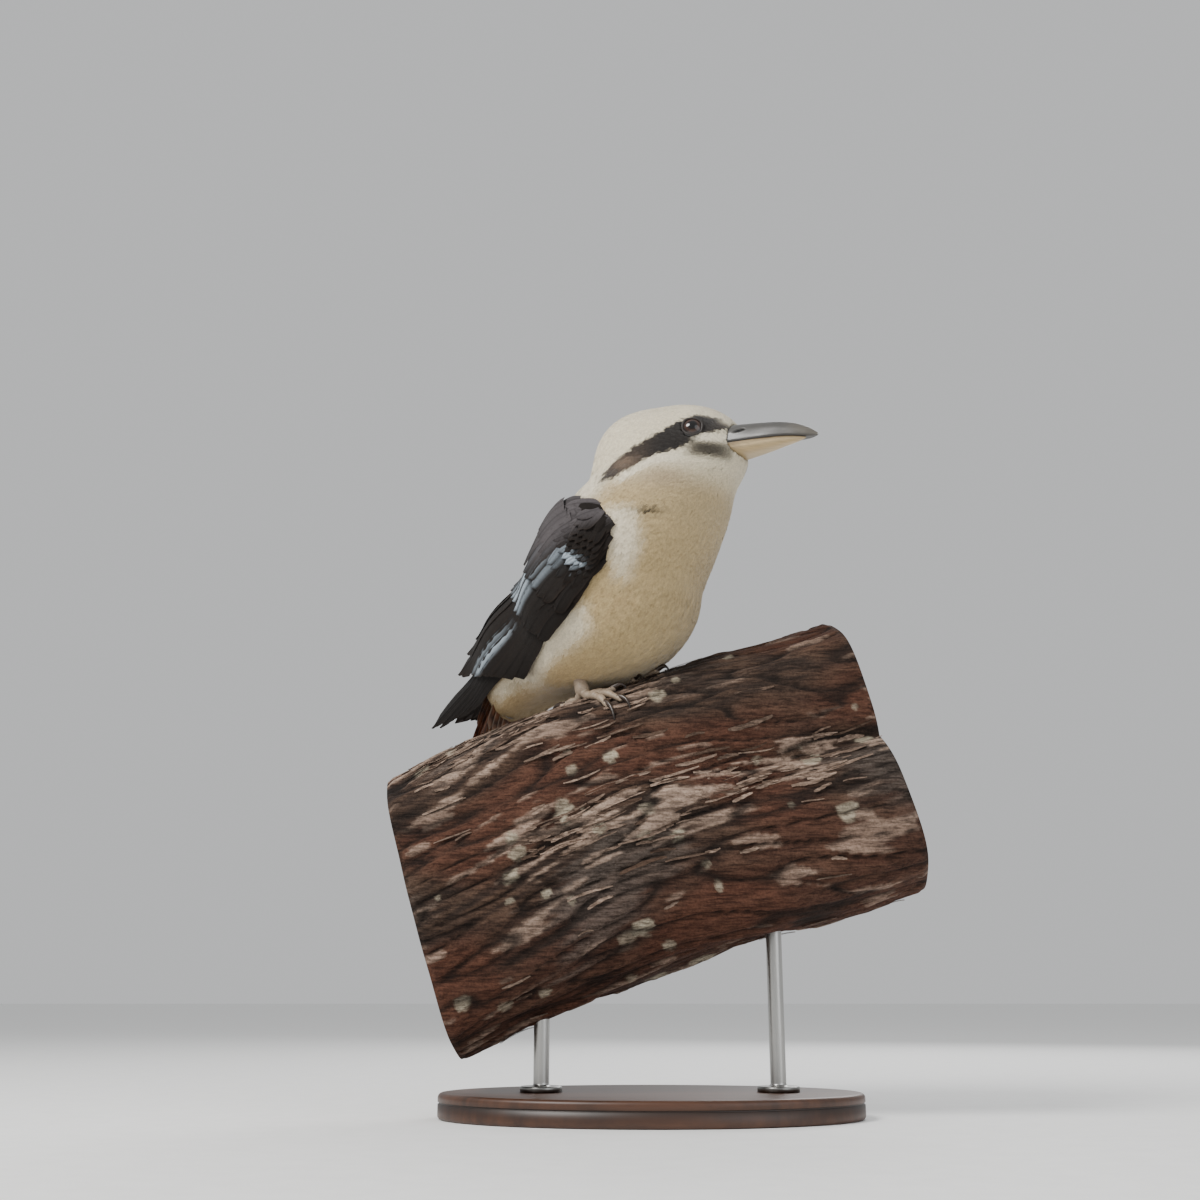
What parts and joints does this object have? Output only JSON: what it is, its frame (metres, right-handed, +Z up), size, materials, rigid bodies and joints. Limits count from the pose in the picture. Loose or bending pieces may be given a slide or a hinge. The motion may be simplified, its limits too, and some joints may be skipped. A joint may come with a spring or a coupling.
{
  "type": "laughing kookaburra on a perch stand",
  "caption": "Still, life-size bird with a long heavy bill and folded wings, gripping a short cut length of branch on two rods and a flat oval base.",
  "frame": {"origin": "centre of the base's underside", "axes": "+Z up, +X along the perch to its higher end, +Y to the back, away from the viewer"},
  "size_m": [0.3157, 0.1865, 0.4139],
  "materials": {
    "plumage_buff": "soft off-white and buff body feathers, brown on the back",
    "plumage_cream": "cream head and neck feathers with a dark brown stripe through the eye",
    "plumage_dark": "dark brown wing feathers with pale blue-grey mottling",
    "plumage_rufous": "rufous tail feathers barred black with pale tips",
    "upper_mandible": "smooth grey-black horn",
    "lower_mandible": "smooth pale horn",
    "eye": "wet dark brown",
    "leg_skin": "scaly grey skin with dark claws",
    "bark": "rough ridged bark with lichen",
    "stand_wood": "dark stained, satin",
    "stand_rod": "brushed"
  },
  "bodies": {
    "root": {"torso": "plumage_buff", "neck": "plumage_cream", "head": "plumage_cream", "bill_upper": "upper_mandible", "bill_lower": "lower_mandible", "eye_left": "eye", "eye_right": "eye", "wing_left": "plumage_dark", "wing_right": "plumage_dark", "tail": "plumage_rufous", "leg_left": "leg_skin", "leg_right": "leg_skin", "perch_branch": "bark", "stand_base": "stand_wood", "stand_rod_left": "stand_rod", "stand_rod_right": "stand_rod"}
  },
  "joints": []
}
